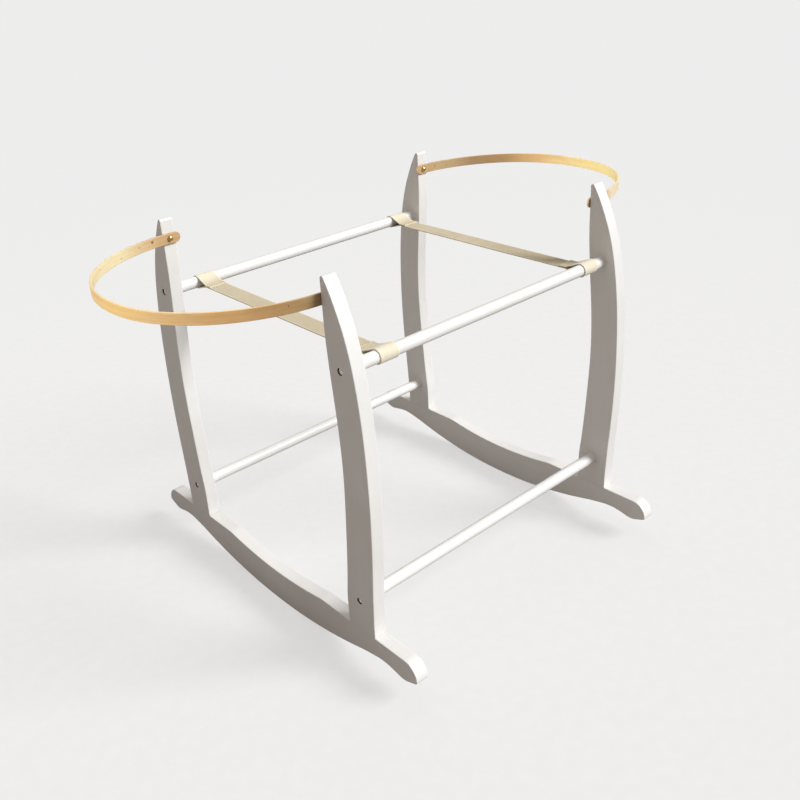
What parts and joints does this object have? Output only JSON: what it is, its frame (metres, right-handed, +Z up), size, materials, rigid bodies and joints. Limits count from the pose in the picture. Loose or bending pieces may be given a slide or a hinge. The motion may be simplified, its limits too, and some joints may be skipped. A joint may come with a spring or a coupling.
{
  "type": "baby cradle rocking stand",
  "caption": "Rocking stand for a basket cradle: curved rocker end frames, round rails, webbing straps and a bent-wood hoop at each end.",
  "frame": {"origin": "middle of the stand on the floor, at the lowest line of the two rockers", "axes": "+X along the rails towards the head end, +Y across the stand towards the back, +Z up"},
  "size_m": [0.8124, 0.5764, 0.5203],
  "materials": {
    "white_paint": "white satin paint on wood",
    "bent_wood": "clear-lacquered natural bent wood",
    "webbing": "woven cream cotton webbing",
    "brass": "polished, slightly aged",
    "zinc": "zinc-plated steel",
    "beech": "plain fluted beech"
  },
  "bodies": {
    "frame": {"foot_rocker": "white_paint", "head_rocker": "white_paint", "foot_front_upright": "white_paint", "foot_back_upright": "white_paint", "head_front_upright": "white_paint", "head_back_upright": "white_paint", "front_top_rail": "white_paint", "back_top_rail": "white_paint", "front_lower_rail": "white_paint", "back_lower_rail": "white_paint", "foot_hoop_screws": "brass", "head_hoop_screws": "brass", "foot_connector_bolts": "zinc", "head_connector_bolts": "zinc", "foot_rail_inserts": "zinc", "head_rail_inserts": "zinc", "foot_dowel_pins": "beech", "head_dowel_pins": "beech"},
    "foot_hoop": {"foot_hoop": "bent_wood"},
    "head_hoop": {"head_hoop": "bent_wood"},
    "foot_strap": {"foot_strap": "webbing"},
    "head_strap": {"head_strap": "webbing"}
  },
  "joints": [
    {"name": "foot_hoop_hinge", "type": "hinge", "parent": "frame", "child": "foot_hoop", "pos_m": [-0.2325, 0, 0.4936], "axis": [0, 1, 0], "range_deg": [-90, 90]},
    {"name": "head_hoop_hinge", "type": "hinge", "parent": "frame", "child": "head_hoop", "pos_m": [0.2325, 0, 0.4936], "axis": [0, -1, 0], "range_deg": [-90, 90]},
    {"name": "foot_strap_slide", "type": "slide", "parent": "frame", "child": "foot_strap", "axis": [1, 0, 0], "range_m": [-0.031, 0.15]},
    {"name": "head_strap_slide", "type": "slide", "parent": "frame", "child": "head_strap", "axis": [-1, 0, 0], "range_m": [-0.017, 0.15]}
  ]
}
